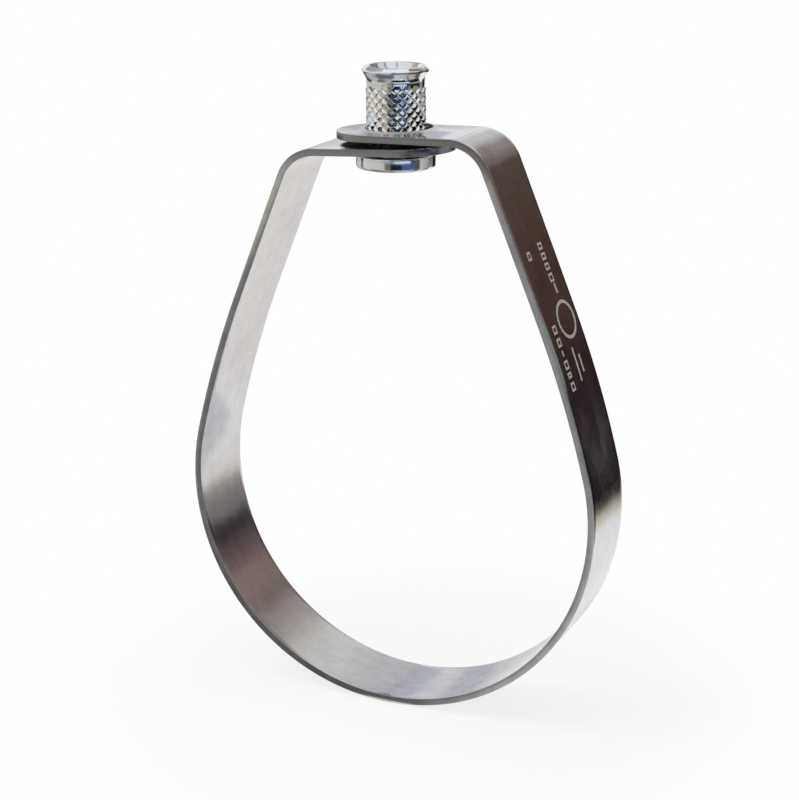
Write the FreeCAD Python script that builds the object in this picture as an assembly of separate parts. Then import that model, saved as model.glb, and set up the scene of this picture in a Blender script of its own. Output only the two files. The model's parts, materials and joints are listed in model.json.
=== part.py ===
import FreeCAD, Part
import math
import os

# Swivel ring hanger for 4-inch pipe. Millimetres.
# Origin at the middle of the pipe, X across the ring, Y along the pipe, Z up to the rod.

# The strip that the ring is bent from
strip_w = 23.0            # width, along the pipe
strip_t = 1.9             # thickness, 14 gauge
edge_break = 0.2          # the slit edges of the strip are slightly broken

# The seat and the legs, as sizes of the inside face
pipe_d = 114.3            # outside diameter of the pipe
seat_clearance = 0.45     # room all round between pipe and seat
seat_end = 13.9           # degrees above the middle of the pipe where the seat ends
shoulder_r = 285.0        # the legs leave the seat in this long easy curve
leg_lean = 22.2           # degrees that the straight legs lean inwards

# The bends at the top and the two overlapping round ends
bend_r = 10.0             # inside radius of both bends
lower_z = 94.2            # underside of the lower end, at the nut
lower_rise = 2.8          # degrees that the lower end springs up towards its tip
lap_gap = 1.65            # between the two ends, at the nut
upper_rise = -1.2         # degrees, so the upper end droops to its tip
tip_reach = 16.1          # from the middle of the nut to the tip of each end

# The swivel nut: flange, knurled barrel, smooth collar and flared lip, turned in one
nut_x = -1.6              # the loose nut stands a little off the middle of the ring
nut_turn = 6.6            # degrees that it happens to be turned
nut_h = 26.65             # over all
flange_d = 21.2
flange_t = 3.7
flange_round = 0.9        # lower edge of the flange
flange_chamfer = 0.5      # its upper edge
knurl_d = 15.75           # over the points of the diamonds
knurl_depth = 0.5
knurl_count = 18          # diamonds in one row
knurl_rows = 7
knurl_pitch = 2.45        # height of one diamond
collar_h = 5.3            # smooth part above the knurl, lip included
collar_d = 15.4
lip_d = 17.7
lip_edge = 0.5            # height of the lip's upright outer edge
lip_crown_h = 0.9         # the crown of the lip slopes from the rim down to that edge
lip_crown_w = 0.95
flare_h = 1.8             # the collar opens into the lip over this height
neck_d = 14.6             # plain neck between flange and knurl
mouth_d = 14.4            # the mouth at the rim
throat_d = 12.4           # where the flared mouth meets the countersink
throat_depth = 1.9
sink_depth = 4.2          # the countersink reaches the thread at this depth
thread_d = 9.525          # 3/8-16 thread, major diameter
thread_pitch = 25.4 / 16
entry_chamfer = 0.8       # lower entry of the thread

# Clearances
lower_hole_play = 0.42    # the lower hole round the knurl: it is too small for the lip
upper_hole_play = 0.1     # the upper hole round the lip, which passed through it
rim_rise = 0.8            # the upper hole's rim is drawn up this much, in a shallow cone
rim_margin = 0.3          # between the foot of the cone and the edges of the strip
rim_flat = 0.3            # level ring at the top of the cone
lean_gap = 0.12           # the nut leans to the left in the upper hole, this near its edge
hang_gap = 0.1            # between flange and ring at their nearest

seat_r = pipe_d / 2 + seat_clearance
upper_z = lower_z + strip_t + lap_gap
knurl_r = knurl_d / 2
lower_hole_r = knurl_r + lower_hole_play
upper_hole_r = lip_d / 2 + upper_hole_play
upper_hole_x = nut_x + upper_hole_r - knurl_r - lean_gap
thread_minor_d = thread_d - 1.0825 * thread_pitch
left, right = -1, 1


def polar(centre, radius, angle):
    """Point at an angle in degrees round a centre given as (x, z)."""
    a = math.radians(angle)
    return (centre[0] + radius * math.cos(a), centre[1] + radius * math.sin(a))


def xz(point, side=right):
    """Point of the side view as a vector, mirrored for the left leg."""
    return FreeCAD.Vector(side * point[0], 0, point[1])


def arc(side, centre, radius, start, end):
    """Arc of the side view from one angle to another."""
    points = [polar(centre, radius, a) for a in (start, (start + end) / 2, end)]
    return Part.Arc(*[xz(p, side) for p in points]).toShape()


def shoulder_centre():
    """Centre of the long curve, so that it leaves the seat without a kink."""
    return polar((0, 0), seat_r - shoulder_r, seat_end)


def bend_centre(side, ply_z, rise):
    """Centre of a top bend: it touches the inside of the straight leg and of the flat end."""
    lean, slope = math.radians(leg_lean), math.radians(rise)
    leg_x, leg_z = polar(shoulder_centre(), shoulder_r - bend_r, leg_lean)
    across = side * nut_x - bend_r * math.sin(slope) - leg_x
    up = ply_z - bend_r * math.cos(slope) - leg_z
    climb = (across * math.sin(slope) + up * math.cos(slope)) / math.cos(lean + slope)
    return (leg_x - climb * math.sin(lean), leg_z + climb * math.cos(lean))


def leg(side, ply_z, rise, depth):
    """One leg, from the end of the seat to the flat end, this deep in the strip."""
    shoulder = shoulder_centre()
    bend = bend_centre(side, ply_z, rise)
    foot = polar(shoulder, shoulder_r + depth, leg_lean)
    head = polar(bend, bend_r + depth, leg_lean)
    return [
        arc(side, shoulder, shoulder_r + depth, seat_end, leg_lean),
        Part.makeLine(xz(foot, side), xz(head, side)),
        arc(side, bend, bend_r + depth, leg_lean, 90 - rise),
    ]


def strip_face(depth):
    """The whole bent strip in side view, along one of its two faces."""
    seat = arc(right, (0, 0), seat_r + depth, seat_end, -180 - seat_end)
    upper = leg(right, upper_z, upper_rise, depth)
    lower = leg(left, lower_z, lower_rise, depth)
    return lower + [seat] + upper


def strip_end(side, ply_z, rise, depth):
    """Point where the bend runs out into the flat end."""
    return xz(polar(bend_centre(side, ply_z, rise), bend_r + depth, 90 - rise), side)


def loop():
    """Seat, legs and bends: the side view of the strip given its width."""
    ends = [
        Part.makeLine(strip_end(*ply, 0), strip_end(*ply, strip_t))
        for ply in ((left, lower_z, lower_rise), (right, upper_z, upper_rise))
    ]
    edges = strip_face(0) + strip_face(strip_t) + ends
    wire = Part.Wire(Part.__sortEdges__(edges))
    band = Part.Face(wire).extrude(FreeCAD.Vector(0, strip_w, 0))
    return band.translated(FreeCAD.Vector(0, -strip_w / 2, 0))


def flat_end(side, ply_z, rise, hole_x, hole_r, drawn=0):
    """Flat end of the strip with its round tip and its punched hole, whose rim may be drawn up."""
    start = strip_end(side, ply_z, rise, 0)
    slope = math.cos(math.radians(rise))
    reach = side * (start.x - nut_x) / slope + tip_reach
    hole = side * (start.x - hole_x) / slope
    half = strip_w / 2
    shank = reach - half
    corners = [FreeCAD.Vector(x, y, 0) for x, y in ((shank, -half), (0, -half), (0, half), (shank, half))]
    round_tip = Part.Arc(corners[3], FreeCAD.Vector(reach, 0, 0), corners[0]).toShape()
    outline = Part.Wire(Part.makePolygon(corners).Edges + [round_tip])
    plate = Part.Face(outline).extrude(FreeCAD.Vector(0, 0, strip_t))
    up = FreeCAD.Vector(0, 0, 1)
    if drawn:
        foot_r, rim_r = half - rim_margin, hole_r + rim_flat
        outside = Part.makeCone(foot_r, rim_r, drawn, FreeCAD.Vector(hole, 0, strip_t), up)
        inside = Part.makeCone(foot_r, rim_r, drawn, FreeCAD.Vector(hole, 0, 0), up)
        plate = plate.fuse(outside).cut(inside)
    punch = Part.makeCylinder(hole_r, 3 * strip_t, FreeCAD.Vector(hole, 0, -strip_t), up)
    plate = plate.cut(punch)
    plate.rotate(FreeCAD.Vector(0, 0, 0), FreeCAD.Vector(0, 1, 0), -rise)
    if side == right:
        plate.rotate(FreeCAD.Vector(0, 0, 0), up, 180)
    return plate.translated(start)


def make_ring_band():
    """The ring: one strip bent to a loop, its two ends lapped over each other."""
    upper = flat_end(right, upper_z, upper_rise, upper_hole_x, upper_hole_r, rim_rise)
    lower = flat_end(left, lower_z, lower_rise, nut_x, lower_hole_r)
    band = loop().fuse([upper, lower]).removeSplitter()
    long_edges = [e for e in band.Edges if is_strip_edge(e)]
    return band.makeChamfer(edge_break, long_edges)


def is_strip_edge(edge):
    """True for the edges that run along the strip, left by slitting it."""
    box = edge.BoundBox
    on_side = abs(abs(box.YMin) - strip_w / 2) < 1e-4 and box.YLength < 1e-4
    round_tip = box.YLength > strip_w - 0.01 and edge.Length > strip_w + 1
    return (on_side and edge.Length > strip_t + 0.1) or round_tip


def flange_top():
    """The ring hangs on the flange, which meets the lower end at its low side."""
    drop = flange_d / 2 * math.tan(math.radians(lower_rise))
    return lower_z - drop - hang_gap


def turned(outline):
    """Solid of revolution about the nut's axis from (radius, z) points and arcs."""
    edges = []
    for a, b in zip(outline, outline[1:] + outline[:1]):
        if len(b) == 3:
            edges.append(Part.Arc(xz(a[:2]), xz(b[2]), xz(b[:2])).toShape())
        else:
            edges.append(Part.makeLine(xz(a[:2]), xz(b)))
    wire = Part.Wire(edges)
    return Part.Face(wire).revolve(FreeCAD.Vector(0, 0, 0), FreeCAD.Vector(0, 0, 1), 360)


def knurl(bottom, top):
    """Barrel covered with raised diamonds.

    Its corners lie on an even net round the barrel. Every second one, as on a chessboard, is the
    point of a diamond; the others lie where two grooves cross. The end rows run out into the barrel.
    """
    columns, rows = 2 * knurl_count, 2 * knurl_rows

    def corner(i, j):
        if j in (0, rows):
            radius = collar_d / 2
        else:
            radius = knurl_r - knurl_depth * ((i + j) % 2)
        turn = 2 * math.pi * i / columns
        z = bottom + (top - bottom) * j / rows
        return FreeCAD.Vector(radius * math.cos(turn), radius * math.sin(turn), z)

    faces = []
    for j in range(rows):
        for i in range(columns):
            net = [corner(i, j), corner(i + 1, j), corner(i + 1, j + 1), corner(i, j + 1)]
            first = (i + j + 1) % 2          # the groove runs across the square from this corner
            groove = net[first], net[first + 2]
            for point in (net[first + 1], net[(first + 3) % 4]):
                faces.append(Part.Face(Part.makePolygon([*groove, point, groove[0]])))
    for j in (0, rows):
        rim = [corner(i, j) for i in range(columns)]
        faces.append(Part.Face(Part.makePolygon(rim + rim[:1])))
    shell = Part.Shell(faces)
    shell.sewShape()
    return Part.Solid(shell)


def make_swivel_nut():
    """The nut: flange under the ring, knurled barrel through it, flared lip on top."""
    seat = flange_top()
    bottom = seat - flange_t
    top = bottom + nut_h
    knurl_top = top - collar_h
    knurl_bottom = knurl_top - knurl_rows * knurl_pitch
    collar_r, lip_r, flange_r = collar_d / 2, lip_d / 2, flange_d / 2
    rounding = flange_round * (1 - math.sqrt(0.5))
    crown = top - lip_crown_h
    flare = crown - lip_edge - flare_h
    base = turned([
        (0, bottom),
        (flange_r - flange_round, bottom),
        (flange_r, bottom + flange_round, (flange_r - rounding, bottom + rounding)),
        (flange_r, seat - flange_chamfer),
        (flange_r - flange_chamfer, seat),
        (neck_d / 2, seat),
        (neck_d / 2, knurl_bottom),
        (0, knurl_bottom),
    ])
    bow = (collar_r + 0.22 * (lip_r - collar_r), flare + 0.6 * flare_h)
    collar = turned([
        (0, knurl_top),
        (collar_r, knurl_top),
        (collar_r, flare),
        (lip_r, crown - lip_edge, bow),
        (lip_r, crown),
        (lip_r - lip_crown_w, top),
        (0, top),
    ])
    minor_r = thread_minor_d / 2
    chamfer_r = minor_r + entry_chamfer
    bore = turned([
        (0, bottom),
        (chamfer_r, bottom),
        (minor_r, bottom + entry_chamfer),
        (minor_r, top - sink_depth),
        (throat_d / 2, top - throat_depth),
        (mouth_d / 2, top),
        (0, top),
    ])
    barrel = knurl(knurl_bottom, knurl_top)
    nut = base.fuse([barrel, collar]).removeSplitter().cut(bore)
    nut.rotate(FreeCAD.Vector(0, 0, 0), FreeCAD.Vector(0, 0, 1), nut_turn)
    return nut.translated(FreeCAD.Vector(nut_x, 0, 0))


def main():
    os.makedirs("parts", exist_ok=True)
    parts = {"ring_band": make_ring_band(), "swivel_nut": make_swivel_nut()}
    for name, shape in parts.items():
        shape.exportStep(f"parts/{name}.step")
        print(name, len(shape.Solids), "solid", round(shape.Volume / 1000, 2), "cm3")


main()
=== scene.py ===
import bpy
import bmesh
import json
from math import cos, pi, radians, sin, tan
from mathutils import Euler, Matrix, Vector

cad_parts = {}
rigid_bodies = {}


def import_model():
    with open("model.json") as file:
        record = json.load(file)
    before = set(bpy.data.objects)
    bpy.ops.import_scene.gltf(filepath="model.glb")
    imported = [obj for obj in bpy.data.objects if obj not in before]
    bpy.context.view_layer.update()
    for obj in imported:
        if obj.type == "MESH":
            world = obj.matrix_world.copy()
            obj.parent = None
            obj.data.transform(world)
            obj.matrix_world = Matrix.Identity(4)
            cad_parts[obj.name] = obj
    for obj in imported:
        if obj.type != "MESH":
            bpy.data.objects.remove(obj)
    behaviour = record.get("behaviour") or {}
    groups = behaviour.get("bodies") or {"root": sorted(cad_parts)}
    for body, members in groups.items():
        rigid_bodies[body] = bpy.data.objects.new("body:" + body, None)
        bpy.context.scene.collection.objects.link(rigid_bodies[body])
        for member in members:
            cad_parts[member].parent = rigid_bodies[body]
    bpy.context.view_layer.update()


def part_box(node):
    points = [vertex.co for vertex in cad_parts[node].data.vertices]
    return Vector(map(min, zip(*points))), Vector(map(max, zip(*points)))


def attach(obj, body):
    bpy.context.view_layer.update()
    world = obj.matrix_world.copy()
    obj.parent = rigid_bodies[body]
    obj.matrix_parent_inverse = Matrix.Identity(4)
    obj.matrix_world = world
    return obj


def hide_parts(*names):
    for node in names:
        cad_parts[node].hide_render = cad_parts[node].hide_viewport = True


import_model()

# The ring is one strip of galvanised sheet steel, slit to width and bent cold into a pear shape.
# Its two round ends lie over each other and are held by the nut alone, each with a punched hole,
# the upper one with a drawn rim. The faces are smooth mottled zinc, the slit edges bare and dull.

strip_w, strip_t = 0.023, 0.0019
seat_r = 0.0576
seat_end = radians(13.9)
shoulder_r = 0.285
leg_lean = radians(22.2)
bend_r = 0.010
nut_x = -0.0016
lower_z, lower_rise = 0.0942, radians(2.8)
upper_z, upper_rise = 0.09775, radians(-1.2)
tip_reach = 0.0161
lower_hole_x, lower_hole_r = nut_x, 0.008295
upper_hole_x, upper_hole_r = -0.000645, 0.00895
rim_foot_r, rim_r, rim_rise = 0.0110, 0.00925, 0.0008
edge_round, edge_segments = 0.0008, 6
same_place, merged = 1e-5, 1e-6     # points nearer than this are at one place, or become one

across = 16                         # faces across the strip, and then the steps along it
seat_steps, shoulder_steps, leg_steps, bend_steps = 80, 10, 12, 28
side_steps, tip_steps = 20, 40

zinc_dull, zinc_light = (0.56, 0.56, 0.575, 1), (0.70, 0.70, 0.705, 1)
# the first colour below is a painted highlight: the drawn rim is made paler to stand in for its
# bright sheen
painted_rim_highlight, zinc_stamped = (0.90, 0.89, 0.93, 1), (0.98, 0.90, 0.87, 1)
slit_dark, slit_pale = (0.48, 0.48, 0.49, 1), (0.58, 0.58, 0.585, 1)
edge_dark_colour = (0.30, 0.29, 0.315, 1)
edge_dark_z, edge_dark_fade = 0.088, 0.006      # the edge is darker from this height, fading in over the second, up to the ends
# painted shade: near black for the faces that lie in the shadowed gap between the two ends of the
# strip
gap_shade_colour = (0.02, 0.018, 0.02, 1)
gap_shade_edge = 0.0095, 0.0112           # distances from the middle of the lap where the painted shade fades out
soft_step = 0.0002
drawn_inside_r = 0.0100

leg_outside = 0.0606                # past this, across the lean of a leg, lies only its outer face
stamped_ring = 0.0314, 0.0033, 0.0048, 0.0054      # place along the leg and across, and half sizes
ring_line = 0.06, 0.12              # shares of those half sizes over which its line fades
bar_inset, bar_line = 0.00022, (0.00020, 0.00036)
stamped_bars = (                    # place along the leg, place across it, length and width
    (0.0507, -0.0055, 0.0022, 0.0022),
    (0.0517, 0.0033, 0.0018, 0.0026), (0.0489, 0.0033, 0.0018, 0.0026),
    (0.0461, 0.0033, 0.0018, 0.0026), (0.0430, 0.0033, 0.0022, 0.0026),
    (0.0400, 0.0037, 0.0026, 0.0009),
    (0.0307, -0.0062, 0.0022, 0.0024), (0.0272, -0.0062, 0.0022, 0.0024),
    (0.0242, -0.0062, 0.0014, 0.0008), (0.0211, -0.0062, 0.0022, 0.0024),
    (0.0183, -0.0062, 0.0014, 0.0024), (0.0152, -0.0062, 0.0022, 0.0024),
    (0.0196, 0.0005, 0.0090, 0.0008), (0.0192, 0.0036, 0.0046, 0.0008))


class Signal:
    """An output of a shader node, so that shader maths reads as plain expressions."""

    def __init__(self, finish, socket):
        self.finish = finish
        self.socket = socket

    def math(self, operation, *values):
        return self.finish.node("ShaderNodeMath", {"operation": operation}, dict(enumerate(values)))

    def __add__(self, other):
        return self.math("ADD", self, other)

    def __sub__(self, other):
        return self.math("SUBTRACT", self, other)

    def __rsub__(self, other):
        return self.math("SUBTRACT", other, self)

    def __mul__(self, other):
        return self.math("MULTIPLY", self, other)

    def __truediv__(self, other):
        return self.math("DIVIDE", self, other)

    def __abs__(self):
        return self.math("ABSOLUTE", self)

    __radd__ = __add__
    __rmul__ = __mul__

    def at_least(self, other):
        return self.math("MAXIMUM", self, other)

    def ease(self, start, end):
        """0 up to start, 1 from end on, with a soft step between them."""
        settings = {"interpolation_type": "SMOOTHSTEP"}
        return self.finish.node("ShaderNodeMapRange", settings, {0: self, 1: start, 2: end})


class Finish:
    """A node tree in the making: nodes are added with their settings, values and links."""

    def __init__(self, tree):
        self.tree = tree

    def node(self, kind, settings=None, inputs=None, output=0):
        node = self.tree.nodes.new(kind)
        for name, value in (settings or {}).items():
            if name == "stops":
                self.set_stops(node.color_ramp, value)
            else:
                setattr(node, name, value)
        for name, value in (inputs or {}).items():
            self.feed(node.inputs[name], value)
        return Signal(self, node.outputs[output])

    def feed(self, socket, value):
        if isinstance(value, Signal):
            self.tree.links.new(value.socket, socket)
        else:
            socket.default_value = value

    def set_stops(self, ramp, stops):
        while len(ramp.elements) < len(stops):
            ramp.elements.new(1)
        for element, (place, colour) in zip(ramp.elements, stops):
            element.position = place
            element.color = (*colour, 1)

    def place(self):
        """The x, y and z of a point of the piece, in metres."""
        point = self.node("ShaderNodeTexCoord", output="Object")
        split = self.node("ShaderNodeSeparateXYZ", None, {0: point})
        return [Signal(self, split.socket.node.outputs[i]) for i in range(3)]

    def vector(self, x, y, z):
        return self.node("ShaderNodeCombineXYZ", None, {0: x, 1: y, 2: z})

    def length(self, x, y, z=0):
        vector = self.vector(x, y, z)
        return self.node("ShaderNodeVectorMath", {"operation": "LENGTH"}, {0: vector}, output=1)

    def noise(self, vector, scale, detail=2.0, roughness=0.5):
        inputs = {"Vector": vector, "Scale": scale, "Detail": detail, "Roughness": roughness}
        return self.node("ShaderNodeTexNoise", None, inputs)

    def colour(self, factor, first, second):
        settings = {"data_type": "RGBA"}
        return self.node("ShaderNodeMix", settings, {0: factor, 6: first, 7: second}, output=2)

    def bump(self, height):
        """Relief, with its height in metres."""
        inputs = {"Strength": 1.0, "Distance": 1.0, "Height": height}
        return self.node("ShaderNodeBump", None, inputs)


def new_metal(name, describe):
    """A bare metal; describe gives the tone, gloss and relief of its surface."""
    material = bpy.data.materials.new(name)
    material.use_nodes = True
    finish = Finish(material.node_tree)
    shader = finish.tree.nodes["Principled BSDF"]
    for socket, value in {"Metallic": 1.0, **describe(finish)}.items():
        finish.feed(shader.inputs[socket], value)
    return material


def stamped_marks(finish, x, y, z):
    """1 where the right leg's outer face is stamped: short bars in two rows, a ring, two bars."""
    along = z * cos(leg_lean) - x * sin(leg_lean)
    outward = x * cos(leg_lean) + z * sin(leg_lean)

    def bar(place, aside, length, width):
        """Outlined bar, or a solid one where it is too narrow for an outline."""
        past = (abs(along - place) - length / 2).at_least(abs(y - aside) - width / 2)
        return 1 - abs(past + bar_inset).ease(*bar_line)

    ring_along, ring_aside, half_long, half_wide = stamped_ring
    from_centre = finish.length(
        (along - ring_along) * (1 / half_long), (y - ring_aside) * (1 / half_wide))
    marks = 1 - abs(from_centre - 1).ease(*ring_line)
    for shape in stamped_bars:
        marks = marks.at_least(bar(*shape))
    return marks * outward.ease(leg_outside, leg_outside + soft_step / 2)


def strip_face(finish):
    """Zinc coat: fine roll lines, soft patches, slight waviness, painted shade in the lap and a
    painted highlight on the drawn rim.
    """
    x, y, z = finish.place()
    point = finish.vector(x, y, z)
    marks = stamped_marks(finish, x, y, z)
    patches = finish.noise(point, scale=260, detail=4, roughness=0.6)
    clouds = finish.noise(point, scale=45, detail=2)
    lines = finish.noise(finish.vector(x * 25, y * 900, z * 25), scale=1, detail=3)
    tone = (patches * 0.45 + clouds * 0.35 + lines * 0.2).ease(0.3, 0.7)
    waves = (finish.noise(point, scale=38, detail=1)
             + finish.noise(point, scale=150, detail=2) * 0.12)
    grain = lines * 0.35 + patches * 0.65

    ahead = x - nut_x
    over_lower = (z - ahead * tan(lower_rise) - (lower_z + strip_t / 2)).ease(0, soft_step)
    under_upper = (upper_z + strip_t / 2 - ahead * tan(upper_rise) - z).ease(0, soft_step)
    past_tip = (abs(ahead) - (tip_reach - strip_w / 2)).at_least(0)
    in_lap = 1 - finish.length(past_tip, y).ease(*gap_shade_edge)
    # painted shade: the faces inside the lap, which lie in shadow, are made near black and dull
    gap_shade = over_lower * under_upper * in_lap
    from_hole = finish.length(x - upper_hole_x, y)
    drawn = (1 - from_hole.ease(drawn_inside_r, rim_foot_r)) * (1 - under_upper)

    zinc = finish.colour(tone, zinc_dull, zinc_light)
    # painted highlight: the drawn rim round the upper hole is made paler; its added roughness is
    # the drawn zinc's own
    zinc = finish.colour(drawn, zinc, painted_rim_highlight)
    zinc = finish.colour(marks, zinc, zinc_stamped)
    return {
        "Base Color": finish.colour(gap_shade, zinc, gap_shade_colour),
        "Roughness": 0.10 + tone * 0.06 + gap_shade * 0.7 + marks * 0.6 + drawn * 0.4,
        "Normal": finish.bump(waves * 0.00030 + grain * 0.000006 - marks * 0.00006),
    }


def slit_edge(finish):
    """Bare edge left by the slitting rolls: dull grey, and darker towards the top, over the bends
    and the two ends.
    """
    x, y, z = finish.place()
    patches = finish.noise(finish.vector(x, y, z), scale=180, detail=3)
    slit = finish.colour(patches.ease(0.35, 0.65), slit_dark, slit_pale)
    return {
        "Base Color": finish.colour((z - edge_dark_z).ease(0, edge_dark_fade), slit, edge_dark_colour),
        "Roughness": 0.22 + patches * 0.12,
    }


strip_metal = new_metal("galvanised strip", strip_face)
edge_metal = new_metal("slit edge", slit_edge)


def pick(piece, test):
    """In edit mode, select just the points that pass the test, and the edges between them."""
    mesh = bmesh.from_edit_mesh(piece.data)
    mesh.select_mode = {"VERT"}
    for item in (*mesh.faces, *mesh.edges, *mesh.verts):
        item.select = False
    for vert in mesh.verts:
        vert.select = test(vert)
    mesh.select_flush_mode()
    bmesh.update_edit_mesh(piece.data)


def open_new(name):
    """Open the primitive just added for editing, as a piece with its origin mid-pipe."""
    piece = bpy.context.object
    piece.name = piece.data.name = name
    bpy.ops.object.transform_apply(location=True, rotation=True, scale=True)
    bpy.ops.object.mode_set(mode="EDIT")
    bpy.context.tool_settings.mesh_select_mode = (True, False, False)
    return piece


def extrude(step):
    """Draw the selected points on by a step."""
    bpy.ops.mesh.extrude_region_move(TRANSFORM_OT_translate={"value": step})


def around(centre, radius, angle):
    """The x and z of a point at an angle round a centre, in the side view."""
    return Vector((centre[0] + radius * cos(angle), centre[1] + radius * sin(angle)))


def turn(side, centre, angle, steps):
    """Spin the selected row up one side of the ring."""
    bpy.ops.mesh.spin(
        steps=steps, angle=angle, center=(side * centre[0], 0, centre[1]), axis=(0, side, 0))


def leg(side, ply_z, rise):
    """Take the selected row from the bottom of the seat up one leg and round its bend."""
    shoulder = around((0, 0), seat_r - shoulder_r, seat_end)
    foot = around(shoulder, shoulder_r, leg_lean)
    inset = around(shoulder, shoulder_r - bend_r, leg_lean)
    ahead = side * nut_x - bend_r * sin(rise) - inset[0]
    above = ply_z - bend_r * cos(rise) - inset[1]
    climb = (ahead * sin(rise) + above * cos(rise)) / cos(leg_lean + rise)
    bend = inset + climb * Vector((-sin(leg_lean), cos(leg_lean)))
    turn(side, (0, 0), pi / 2 + seat_end, seat_steps)
    turn(side, shoulder, leg_lean - seat_end, shoulder_steps)
    step = (around(bend, bend_r, leg_lean) - foot) / leg_steps
    for _ in range(leg_steps):
        extrude((side * step[0], 0, step[1]))
    turn(side, bend, pi / 2 - rise - leg_lean, bend_steps)
    end = around(bend, bend_r, pi / 2 - rise)
    return Vector((side * end[0], 0, end[1]))


def flat_end(piece, side, start, rise, hole_x, hole_r, drawn=None):
    """Draw the round tip from the last row, then the hole, and fill between them. A drawn rim
    is given as the radius at its foot, the radius at its top and its height."""
    half = strip_w / 2
    ahead = Vector((-side * cos(rise), 0, sin(rise)))
    up = Vector((side * sin(rise), 0, cos(rise)))
    reach = side * (start.x - nut_x) / cos(rise) + tip_reach
    shank = reach - half
    hole = start + ahead * side * (start.x - hole_x) / cos(rise)
    tip = start + ahead * shank
    for y in (-half, half):
        pick(piece, lambda v: (v.co - start - Vector((0, y, 0))).length < same_place)
        for _ in range(side_steps):
            extrude(ahead * shank / side_steps)
    pick(piece, lambda v: (v.co - tip + Vector((0, half, 0))).length < same_place)
    bpy.ops.mesh.spin(steps=tip_steps, angle=pi, center=tip, axis=up * side)
    bpy.ops.mesh.select_all(action="SELECT")
    bpy.ops.mesh.remove_doubles(threshold=merged)

    radius, height = drawn[0] if drawn else hole_r, 0
    bpy.ops.mesh.primitive_circle_add(
        vertices=across + 2 * side_steps + tip_steps, radius=radius, location=hole,
        rotation=(0, side * rise, 0))
    pick(piece, lambda v: abs((v.co - start).dot(up)) < same_place
         and (v.co - start).dot(ahead) > -merged)
    bpy.ops.mesh.fill(use_beauty=True)
    if not drawn:
        return
    for next_r, next_height in ((drawn[1], drawn[2]), (hole_r, drawn[2])):
        pick(piece, lambda v: abs((v.co - hole - up * height).length - radius) < same_place
             and abs((v.co - hole).dot(up) - height) < same_place)
        extrude(up * (next_height - height))
        bpy.ops.transform.resize(
            value=(next_r / radius,) * 3, center_override=hole + up * next_height)
        radius, height = next_r, next_height


bpy.ops.object.select_all(action="DESELECT")
bpy.ops.mesh.primitive_plane_add(size=strip_w, location=(0, 0, -seat_r))
ring = open_new("ring_strip")
pick(ring, lambda v: v.co.x > 0)
bpy.ops.mesh.delete(type="VERT")
bpy.ops.mesh.select_all(action="SELECT")
bpy.ops.transform.translate(value=(strip_w / 2, 0, 0))
bpy.ops.mesh.subdivide(number_cuts=across - 1)
upper_start = leg(1, upper_z, upper_rise)
pick(ring, lambda v: abs(v.co.x) < merged and v.co.z < 0)
lower_start = leg(-1, lower_z, lower_rise)
flat_end(ring, 1, upper_start, upper_rise, upper_hole_x, upper_hole_r,
         (rim_foot_r, rim_r, rim_rise))
flat_end(ring, -1, lower_start, lower_rise, lower_hole_x, lower_hole_r)
bpy.ops.mesh.select_all(action="SELECT")
bpy.ops.mesh.normals_make_consistent(inside=False)
bpy.ops.object.mode_set(mode="OBJECT")
lowest = min(ring.data.polygons, key=lambda face: face.center.z)
if lowest.normal.z > 0:
    ring.data.flip_normals()
ring.data.materials.append(strip_metal)
ring.data.materials.append(edge_metal)

wall = ring.modifiers.new("strip thickness", "SOLIDIFY")
wall.thickness = strip_t
wall.offset = 1
wall.use_even_offset = True
wall.material_offset_rim = 1
bpy.ops.object.modifier_apply(modifier=wall.name)
soft = ring.modifiers.new("rounded edges", "BEVEL")
soft.width = edge_round
soft.segments = edge_segments
soft.limit_method = "ANGLE"
soft.angle_limit = radians(50)
soft.harden_normals = True
bpy.ops.object.modifier_apply(modifier=soft.name)
bpy.ops.object.shade_smooth_by_angle(angle=radians(40))
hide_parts("ring_band")
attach(ring, "ring")


# The nut is turned and formed in one piece from steel bar, then zinc plated bright. Its flange
# carries the ring, its knurled barrel passes through both holes, and its lip is flared so that it
# can't drop out. It is tapped 3/8-16 all through for the threaded rod.

nut_low, nut_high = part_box("swivel_nut")
bottom, top = nut_low[2], nut_high[2]
nut_turn = radians(6.6)
flange_r, flange_t = 0.0106, 0.0037
flange_round, flange_break = 0.0009, 0.0005
neck_r, collar_r, lip_r = 0.0073, 0.0077, 0.00885
flare_z, lip_low, lip_high = top - 0.0032, top - 0.0014, top - 0.0009
flare_round, lip_low_round, lip_round, mouth_round = 0.001, 0.0002, 0.0003, 0.0002
crown_w = 0.00095
mouth_r = 0.0072
throat_r, throat_z, throat_round = 0.0062, top - 0.0019, 0.001
sink_z = top - 0.0042
thread_r, minor_r, pitch = 0.0047625, 0.003903, 0.0254 / 16
thread_turns, thread_steps = 17, 48
flank, tap_over, entry = pi / 6, 0.0002, 0.0008
knurl_count, knurl_rows, knurl_pitch = 18, 7, 0.00245
groove_r = 0.007375
diamond_insets = (0.00002, 0), (0.00034, 0.00046), (0.00013, 0.00014), (0.00004, 0)
seat_z = bottom + flange_t
knurl_top = top - 0.0053
knurl_bottom = knurl_top - knurl_rows * knurl_pitch
run_out, neck_gap = 0.0001, 0.0003
rounds, corner_segments = 144, 8

plate_blue, plate_straw = (0.74, 0.79, 0.86, 1), (0.82, 0.80, 0.74, 1)
# painted shade: near black for the barrel between these heights, where it stands in the shadowed
# gap
plate_gap_shade = (0.10, 0.10, 0.105, 1)
gap_shade_low, gap_shade_high = 0.0950, 0.0976


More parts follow.
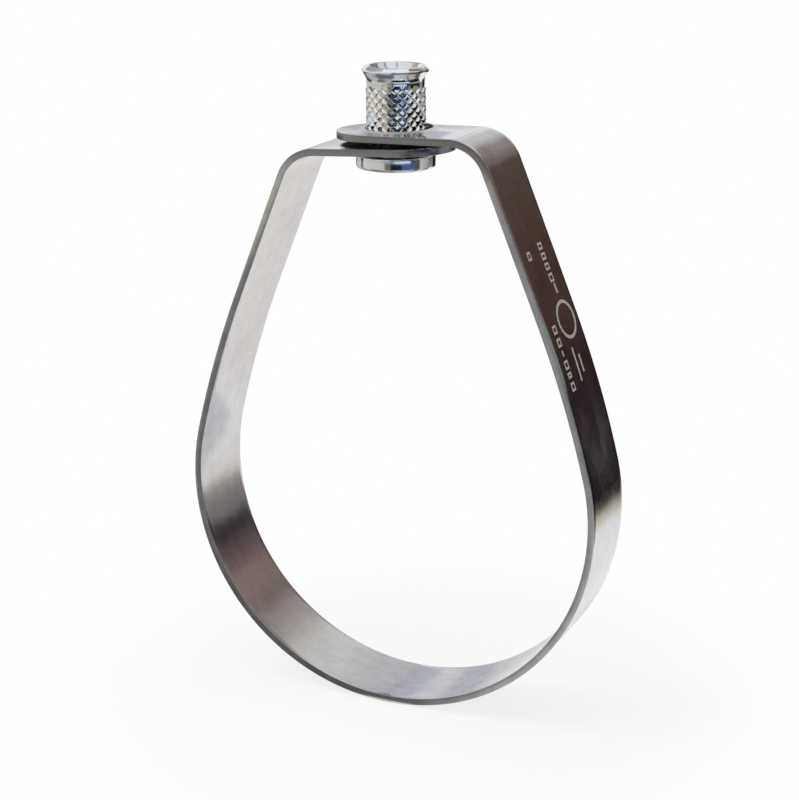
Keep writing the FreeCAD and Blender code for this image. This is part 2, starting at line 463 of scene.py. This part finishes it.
def zinc_plate(finish):
    """Bright zinc: almost mirror, with faint turning rings and a slight blue and straw tint, and
    with painted shade where it stands in the shadowed gap between the two ends of the strip."""
    x, y, z = finish.place()
    point = finish.vector(x, y, z)
    tint = finish.noise(point, scale=180, detail=2).ease(0.35, 0.65)
    specks = finish.noise(point, scale=1500, detail=3)
    rings = finish.noise(finish.vector(x * 60, y * 60, z * 6000), scale=1, detail=2)
    # painted shade on the barrel in the gap between the two ends of the strip
    gap_shade = (z - gap_shade_low).ease(0, soft_step) * (gap_shade_high - z).ease(0, soft_step)
    zinc = finish.colour(tint, plate_blue, plate_straw)
    return {
        "Base Color": finish.colour(gap_shade, zinc, plate_gap_shade),
        "Roughness": 0.05 + specks * 0.06 + gap_shade * 0.6,
        "Normal": finish.bump(rings * 0.000004 + specks * 0.000004),
    }


zinc_metal = new_metal("bright zinc plate", zinc_plate)


def start_point(x, z, name=None):
    """A single point to draw from, added to the piece being edited, or as a new piece."""
    bpy.ops.mesh.primitive_plane_add(size=0.001, location=(x, 0, z))
    piece = open_new(name) if name else None
    bpy.ops.mesh.merge(type="CENTER")
    return piece


def lathe(piece, corners):
    """Draw a profile at the nut's axis, corner by corner, round those with a radius, and spin."""
    start_point(corners[0][0], corners[0][1])
    for before, after in zip(corners, corners[1:]):
        extrude((after[0] - before[0], 0, after[1] - before[1]))
    for corner in corners:
        if len(corner) == 3:
            place = Vector((corner[0], 0, corner[1]))
            pick(piece, lambda v: (v.co - place).length < merged)
            bpy.ops.mesh.bevel(offset=corner[2], segments=corner_segments, affect="VERTICES")
    pick(piece, lambda v: not v.link_faces)
    bpy.ops.mesh.spin(steps=rounds, angle=2 * pi, center=(0, 0, 0), axis=(0, 0, 1))
    bpy.ops.mesh.select_all(action="SELECT")
    bpy.ops.mesh.remove_doubles(threshold=merged)


bpy.ops.object.select_all(action="DESELECT")
half_angle = pi / knurl_count
first_row = knurl_bottom + knurl_pitch / 2
bpy.ops.mesh.primitive_circle_add(
    vertices=4, radius=1, fill_type="NGON",
    location=(groove_r * cos(half_angle), 0, first_row), rotation=(0, pi / 2, 0))
bpy.context.object.scale = (knurl_pitch / 2, groove_r * sin(half_angle), 1)
nut = open_new("rod_nut")
bpy.ops.mesh.select_all(action="SELECT")
for width, height in diamond_insets:
    bpy.ops.mesh.inset(thickness=width, depth=height)
pick(nut, lambda v: abs(v.co.y) < merged and abs(v.co.z - first_row) > 0.45 * knurl_pitch)
bpy.ops.transform.translate(value=(groove_r * (1 - cos(half_angle)), 0, 0))
bpy.ops.mesh.select_all(action="SELECT")
bpy.ops.mesh.spin(
    steps=knurl_count - 1, angle=2 * half_angle * (knurl_count - 1), dupli=True,
    center=(0, 0, 0), axis=(0, 0, 1))
bpy.ops.mesh.select_all(action="SELECT")
bpy.ops.mesh.duplicate_move(TRANSFORM_OT_translate={"value": (0, 0, knurl_pitch / 2)})
bpy.ops.transform.rotate(value=half_angle, orient_axis="Z", center_override=(0, 0, 0))
for row in range(1, knurl_rows):
    highest_foot = knurl_bottom if row == knurl_rows - 1 else first_row
    pick(nut, lambda v: v.co.z < highest_foot + merged)
    bpy.ops.mesh.select_linked()
    bpy.ops.mesh.duplicate_move(TRANSFORM_OT_translate={"value": (0, 0, row * knurl_pitch)})
bpy.ops.mesh.select_all(action="SELECT")
bpy.ops.mesh.remove_doubles(threshold=2 * merged)
lathe(nut, (
    (minor_r + entry, bottom),
    (flange_r, bottom, flange_round),
    (flange_r, seat_z, flange_break),
    (neck_r, seat_z),
    (neck_r, knurl_bottom - neck_gap),
    (collar_r, knurl_bottom - run_out),
))
lathe(nut, (
    (collar_r, knurl_top + run_out),
    (collar_r, flare_z, flare_round),
    (lip_r, lip_low, lip_low_round),
    (lip_r, lip_high, lip_round),
    (lip_r - crown_w, top, lip_round),
    (mouth_r, top, mouth_round),
    (throat_r, throat_z, throat_round),
    (minor_r, sink_z),
    (minor_r, bottom + entry),
    (minor_r + entry, bottom),
))
for edge_z in (knurl_bottom, knurl_top):
    pick(nut, lambda v: v.is_boundary and abs(v.co.z - edge_z) < knurl_pitch)
    bpy.ops.mesh.bridge_edge_loops()
bpy.ops.mesh.select_all(action="SELECT")
bpy.ops.mesh.remove_doubles(threshold=merged)
bpy.ops.mesh.normals_make_consistent(inside=False)
bpy.ops.object.mode_set(mode="OBJECT")

bpy.ops.object.select_all(action="DESELECT")
tap = start_point(minor_r, bottom - 1.5 * pitch, "tap")
half_root = pitch / 16
tooth_h = thread_r - minor_r
half_mouth = half_root + (tooth_h + tap_over) * tan(flank)
place = Vector((0, 0, 0))
for x, z in ((-tap_over, -half_mouth), (tooth_h, -half_root),
             (tooth_h, half_root), (-tap_over, half_mouth)):
    step = Vector((x, 0, z)) - place
    extrude(step)
    place += step
pick(tap, lambda v: abs(v.co.x - minor_r) < merged)
bpy.ops.mesh.delete(type="VERT")
bpy.ops.mesh.select_all(action="SELECT")
bpy.ops.mesh.edge_face_add()
bpy.ops.object.mode_set(mode="OBJECT")
helix = tap.modifiers.new("thread", "SCREW")
helix.screw_offset = pitch
helix.iterations = thread_turns
helix.steps = helix.render_steps = thread_steps
helix.use_merge_vertices = True
bpy.ops.object.modifier_apply(modifier=helix.name)
bpy.ops.object.mode_set(mode="EDIT")
bpy.ops.mesh.select_all(action="SELECT")
bpy.ops.mesh.normals_make_consistent(inside=False)
bpy.ops.object.mode_set(mode="OBJECT")

bpy.ops.object.select_all(action="DESELECT")
nut.select_set(True)
bpy.context.view_layer.objects.active = nut
cut = nut.modifiers.new("tapped bore", "BOOLEAN")
cut.object = tap
cut.operation = "DIFFERENCE"
cut.solver = "EXACT"
bpy.ops.object.modifier_apply(modifier=cut.name)
bpy.data.objects.remove(tap)
nut.rotation_euler = (0, 0, nut_turn)
nut.location = (nut_x, 0, 0)
bpy.ops.object.transform_apply(location=True, rotation=True, scale=True)
bpy.ops.object.shade_smooth_by_angle(angle=radians(32))
nut.data.materials.append(zinc_metal)
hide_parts("swivel_nut")
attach(nut, "nut")


# The stage: a small pale board to stand on, white all round, and plain cards that the metal
# mirrors. The cards stand outside the picture and only reflections show them, as in a studio tent.

board_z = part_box("ring_band")[0][2] - 0.0001
board_card_z = -0.0592
shadow_ends = 0.06, 0.125           # distances over which the board melts into the white
paper_white, plain_white = (0.9, 0.9, 0.9, 1), (1, 1, 1, 1)
far, behind_far, behind_near, near = 2.5, 2.4, 2.3, 0.16      # distances of the curved cards
turn_steps = 24


def plain_light(name, build):
    """A material for the stage, whose light is worked out by build and goes to the output."""
    material = bpy.data.materials.new(name)
    material.use_nodes = True
    finish = Finish(material.node_tree)
    finish.tree.nodes.remove(finish.tree.nodes["Principled BSDF"])
    finish.feed(finish.tree.nodes["Material Output"].inputs["Surface"], build(finish))
    return material


def emission(finish, colour, strength=1.0):
    return finish.node("ShaderNodeEmission", None, {"Color": colour, "Strength": strength})


def seen_directly(finish):
    """1 for rays from the camera and for reflections, which show the background."""
    path = finish.node("ShaderNodeLightPath").socket.node
    camera, glossy, clear = (Signal(finish, path.outputs[name]) for name in
                             ("Is Camera Ray", "Is Glossy Ray", "Is Transmission Ray"))
    return camera.at_least(glossy).at_least(clear)


def board_light(finish):
    """White board that takes a faint shadow near the ring and melts into the white behind it."""
    x, y, z = finish.place()
    fade = finish.length(x, y).ease(*shadow_ends) * 0.25 + 0.75
    paper = finish.node("ShaderNodeBsdfDiffuse", None, {"Color": paper_white})
    white = emission(finish, plain_white)
    return finish.node(
        "ShaderNodeMixShader", None, {0: seen_directly(finish) * fade, 1: paper, 2: white})


def flat_piece(name, place, size):
    """A flat rectangle of the stage."""
    bpy.ops.object.select_all(action="DESELECT")
    bpy.ops.mesh.primitive_plane_add(size=1, location=place)
    piece = bpy.context.object
    piece.name = name
    piece.scale = (*size, 1)
    bpy.ops.object.transform_apply(location=True, rotation=True, scale=True)
    return piece


board = flat_piece("board", (0, -0.085, board_z), (0.9, 0.43))
board.data.materials.append(plain_light("white board", board_light))


def make_card(piece, build):
    """Give a card its light, and hide it from all but reflections."""
    piece.data.materials.append(plain_light(piece.name, build))
    for ray in ("camera", "diffuse", "shadow", "transmission", "volume_scatter"):
        setattr(piece, "visible_" + ray, False)


def card(name, start, end, low, high, stops, sideways=False, distance=far, foot=1.0):
    """A curved card round the object, in degrees: clockwise from behind, and above the horizon.
    Its colour changes by the stops, each an angle and a colour, upwards or else sideways, and
    fades downwards to the share that foot gives."""
    bpy.ops.object.select_all(action="DESELECT")
    low_z, high_z = (distance * tan(radians(e)) for e in (low, high))
    corner = (distance * sin(radians(start)), distance * cos(radians(start)), low_z)
    bpy.ops.mesh.primitive_plane_add(size=0.01, location=corner)
    piece = open_new(name)
    bpy.ops.mesh.merge(type="CENTER")
    extrude((0, 0, high_z - low_z))
    bpy.ops.mesh.select_all(action="SELECT")
    bpy.ops.mesh.spin(
        steps=turn_steps, angle=radians(end - start), center=(0, 0, 0), axis=(0, 0, 1))
    bpy.ops.object.mode_set(mode="OBJECT")

    def shade(finish):
        x, y, z = finish.place()
        upwards = (z - low_z) / (high_z - low_z)
        if sideways:
            middle = radians(start + end) / 2
            across_it = x * cos(middle) - y * sin(middle)
            towards_it = x * sin(middle) + y * cos(middle)
            share = x.math("ARCTAN2", across_it, towards_it) / radians(end - start) + 0.5
            marks = [((angle - start) / (end - start), colour) for angle, colour in stops]
        else:
            share = upwards
            marks = [((distance * tan(radians(angle)) - low_z) / (high_z - low_z), colour)
                     for angle, colour in stops]
        colour = finish.node("ShaderNodeValToRGB", {"stops": marks}, {0: share})
        return emission(finish, colour, upwards * (1 - foot) + foot)

    make_card(piece, shade)


card("dark card behind", 2, 27.5, -21, 14, (
    (-21, (1, 0.98, 0.88)), (-18.5, (0.60, 0.56, 0.44)), (-16.5, (0.07, 0.05, 0.05)),
    (-14, (0.015, 0.01, 0.012)), (-6, (0.018, 0.01, 0.01)), (0, (0.03, 0.016, 0.016)),
    (4, (0.07, 0.034, 0.028)), (8, (0.095, 0.060, 0.046)), (12, (0.14, 0.11, 0.09)),
    (14, (0.19, 0.16, 0.13))))
card("brown card behind", 27.5, 50, -18, 14, (
    (-18, (1, 1, 1)), (-15.5, (0.72, 0.68, 0.65)), (-13, (0.40, 0.37, 0.35)),
    (-9, (0.28, 0.25, 0.245)), (-5, (0.25, 0.215, 0.215)), (-2, (0.07, 0.055, 0.06)),
    (1, (0.05, 0.04, 0.045)), (5, (0.11, 0.08, 0.085)), (14, (0.26, 0.175, 0.17))))
card("graded card behind", -36, 50, 20, 66, (
    (-36, (0.62, 0.64, 0.76)), (-22, (0.66, 0.66, 0.70)), (-12, (0.70, 0.70, 0.70)),
    (0, (0.84, 0.83, 0.80)), (8, (0.80, 0.78, 0.74)), (14, (0.62, 0.60, 0.57)),
    (20, (0.44, 0.39, 0.37)), (28, (0.34, 0.26, 0.245)), (50, (0.30, 0.21, 0.20))),
    sideways=True)
card("low graded card behind", -6, 50, 14, 25, (
    (-6, (0.85, 0.85, 0.86)), (2, (0.60, 0.58, 0.56)), (8, (0.46, 0.43, 0.40)),
    (14, (0.30, 0.27, 0.25)), (20, (0.21, 0.175, 0.16)), (26, (0.20, 0.17, 0.155)),
    (30, (0.32, 0.22, 0.205)), (50, (0.31, 0.215, 0.205))),
    sideways=True, distance=behind_far)
card("graded card for the bend", -14, 14, 22, 28, (
    (-14, (0.72, 0.72, 0.72)), (-6, (0.72, 0.71, 0.69)), (0, (0.54, 0.51, 0.48)),
    (5, (0.34, 0.30, 0.28)), (14, (0.28, 0.23, 0.21))),
    sideways=True, distance=behind_near)
card("black card right", 50, 104, -32, 25, (
    (-32, (0.05, 0.045, 0.04)), (-14, (0.02, 0.016, 0.018)), (25, (0.012, 0.01, 0.012))))
card("navy card front", 104, 172, -22, 25, (
    (-22, (0.012, 0.018, 0.045)), (25, (0.010, 0.020, 0.06))))
card("light straw card front", 172, 204, -24, 12, (
    (-24, (0.60, 0.60, 0.58)), (-12, (0.45, 0.44, 0.38)), (-9, (0.36, 0.34, 0.20)),
    (12, (0.40, 0.38, 0.25))))
card("straw card front", 204, 232, -24, 12, (
    (-24, (0.26, 0.25, 0.24)), (-12, (0.18, 0.175, 0.15)), (-9, (0.30, 0.28, 0.17)),
    (12, (0.36, 0.34, 0.24))))
card("pale card left", 232, 322, -24, 12, (
    (-24, (0.18, 0.18, 0.18)), (-11, (0.16, 0.16, 0.16)), (-9, (0.66, 0.65, 0.63)),
    (12, (0.66, 0.65, 0.64))))
card("sky card left", 324, 331, -16, 20, (
    (-16, (1, 1, 1)), (-13, (0.68, 0.67, 0.68)), (-7, (0.62, 0.62, 0.65)),
    (0, (0.59, 0.60, 0.65)), (8, (0.59, 0.60, 0.66)), (12, (0.84, 0.84, 0.86)),
    (16, (0.84, 0.84, 0.86)), (20, (0.60, 0.62, 0.72))))
card("pale card behind", 331, 342, -17, 20, (
    (-17, (0.95, 0.95, 0.95)), (-13, (0.66, 0.65, 0.66)), (-6, (0.68, 0.68, 0.70)),
    (9, (0.70, 0.70, 0.71)), (12, (1, 0.99, 1.04)), (15.5, (1, 0.99, 1.04)),
    (18.5, (0.57, 0.59, 0.70)), (20, (0.57, 0.59, 0.70))))
card("sky card front", 104, 336, 25, 66, (
    (104, (0.95, 0.97, 1)), (116, (0.97, 0.99, 1)), (154, (1, 1, 1)), (162, (0.50, 0.50, 0.52)),
    (172, (1, 1, 1)), (238, (1, 1, 1)), (256, (0.60, 0.60, 0.60)), (336, (0.35, 0.35, 0.35))),
    sideways=True, foot=0.8)
card("sky card right", 50, 104, 25, 66, (
    (50, (0.03, 0.03, 0.03)), (60, (0.88, 0.87, 0.78)), (88, (0.95, 0.94, 0.84)),
    (92, (0.42, 0.42, 0.34)), (98, (0.42, 0.42, 0.34)), (104, (0.95, 0.97, 1))),
    sideways=True, foot=0.8)

card("low near card", 47, 325, -20.2, 5, (
    (47, (0.012, 0.01, 0.01)), (104, (0.012, 0.012, 0.02)), (116, (0.010, 0.018, 0.05)),
    (170, (0.010, 0.018, 0.05)), (178, (0.48, 0.46, 0.48)), (190, (0.48, 0.46, 0.48)),
    (202, (0.34, 0.33, 0.34)), (212, (0.21, 0.205, 0.21)), (232, (0.20, 0.195, 0.20)),
    (240, (0.50, 0.50, 0.50)), (325, (0.50, 0.50, 0.50))),
    sideways=True, distance=near)
card("middle near card", 47, 325, 5, 14, (
    (47, (0.012, 0.01, 0.01)), (94, (0.012, 0.012, 0.02)), (106, (0.80, 0.90, 1)),
    (160, (0.80, 0.90, 1)), (172, (0.30, 0.31, 0.36)), (182, (0.48, 0.46, 0.48)),
    (202, (0.34, 0.33, 0.34)), (212, (0.21, 0.205, 0.21)), (232, (0.20, 0.195, 0.20)),
    (240, (0.50, 0.50, 0.50)), (325, (0.50, 0.50, 0.50))),
    sideways=True, distance=near)
card("near card for the flange", 47, 325, 14, 24.6, (
    (47, (0.25, 0.32, 0.27)), (103, (0.25, 0.32, 0.27)), (104, (0.07, 0.12, 0.32)),
    (141, (0.06, 0.11, 0.30)), (142, (0.01, 0.014, 0.03)), (171, (0.01, 0.014, 0.03)),
    (172, (0.16, 0.15, 0.08)), (186, (0.20, 0.19, 0.12)), (192, (0.62, 0.62, 0.50)),
    (262, (0.72, 0.72, 0.62)), (268, (0.10, 0.10, 0.06)), (325, (0.10, 0.10, 0.06))),
    sideways=True, distance=near)
card("near card for the lower knurl", 104, 325, 24.6, 27.8, (
    (104, (0.03, 0.04, 0.04)), (112, (0.05, 0.06, 0.06)), (120, (0.80, 0.98, 1.0)),
    (158, (0.85, 0.98, 1.0)), (166, (0.30, 0.34, 0.50)), (180, (0.42, 0.42, 0.46)),
    (207, (0.58, 0.58, 0.55)), (325, (0.62, 0.62, 0.62))),
    sideways=True, distance=near)
card("near card for the upper knurl", 104, 325, 27.8, 29.4, (
    (104, (0.012, 0.02, 0.05)), (180, (0.012, 0.02, 0.06)), (205, (0.05, 0.05, 0.06)),
    (212, (0.58, 0.58, 0.57)), (325, (0.62, 0.62, 0.62))),
    sideways=True, distance=near)


def grey_card_light(finish):
    """Darker close to the ring, paler towards the front and to the right."""
    x, y, z = finish.place()
    stops = ((0.0, (0.15, 0.145, 0.145)), (0.3, (0.16, 0.155, 0.15)),
             (0.45, (0.4, 0.4, 0.37)), (1, (0.5, 0.5, 0.46)))
    colour = finish.node("ShaderNodeValToRGB", {"stops": stops}, {0: (y + 0.012) / -0.238})
    return emission(finish, finish.colour(x.ease(0.002, 0.030), colour, (0.66, 0.65, 0.67, 1)))


def pale_card_light(finish):
    """White close to the ring, a little darker towards the back."""
    x, y, z = finish.place()
    stops = ((0.0, (1, 1, 1)), (0.3, (0.86, 0.86, 0.86)),
             (0.55, (0.74, 0.74, 0.75)), (1, (0.66, 0.66, 0.69)))
    colour = finish.node("ShaderNodeValToRGB", {"stops": stops}, {0: (y - 0.014) / 0.116})
    return emission(finish, colour)


def cream_card_light(finish):
    """Warm white, for the left leg."""
    return emission(finish, (0.92, 0.89, 0.865, 1))


for name, x, y, size, build in (
        ("grey card on the board", -0.08, -0.131, (0.34, 0.238), grey_card_light),
        ("pale card on the board", -0.03, 0.072, (0.15, 0.116), pale_card_light),
        ("cream card on the board", -0.031, 0.25, (0.158, 0.22), cream_card_light)):
    make_card(flat_piece(name, (x, y, board_card_z), size), build)


def room_light(finish):
    """White room: full white where it is seen or mirrored, softer as light on the object."""
    strength = seen_directly(finish) * 0.25 + 0.75
    return finish.node("ShaderNodeBackground", None, {"Color": plain_white, "Strength": strength})


world = bpy.data.worlds.new("white room")
bpy.context.scene.world = world
world.use_nodes = True
room = Finish(world.node_tree)
room.tree.nodes.remove(room.tree.nodes["Background"])
room.feed(room.tree.nodes["World Output"].inputs["Surface"], room_light(room))

light = bpy.data.lights.new("soft lamp above", "AREA")
light.shape = "SQUARE"
light.size = 0.7
light.energy = 4.0
lamp = bpy.data.objects.new("soft lamp above", light)
bpy.context.collection.objects.link(lamp)
lamp.location = (-0.35, -0.30, 0.95)
lamp.rotation_euler = (Vector((0, 0, 0.02)) - lamp.location).to_track_quat("-Z", "Y").to_euler()
lamp.visible_camera = lamp.visible_glossy = False


# The camera stands where the photograph was taken from: to the right in front of the ring and a
# little above it, with a long lens. Its angles are in degrees and its distances in metres.

look_down, look_round, roll = 16.92, 24.34, -0.31
looked_at, looked_from = Vector((-0.00104, 0, 0.02564)), 0.53542

camera = bpy.data.objects.new("camera", bpy.data.cameras.new("camera"))
bpy.context.collection.objects.link(camera)
aim = (Euler((radians(90 - look_down), 0, radians(look_round))).to_matrix()
       @ Matrix.Rotation(radians(roll), 3, "Z"))
camera.matrix_world = aim.to_4x4()
camera.location = looked_at + looked_from * aim.col[2]
camera.data.lens = 88.23
camera.data.sensor_width = 36
bpy.context.scene.camera = camera

bpy.context.scene.view_settings.view_transform = "Standard"
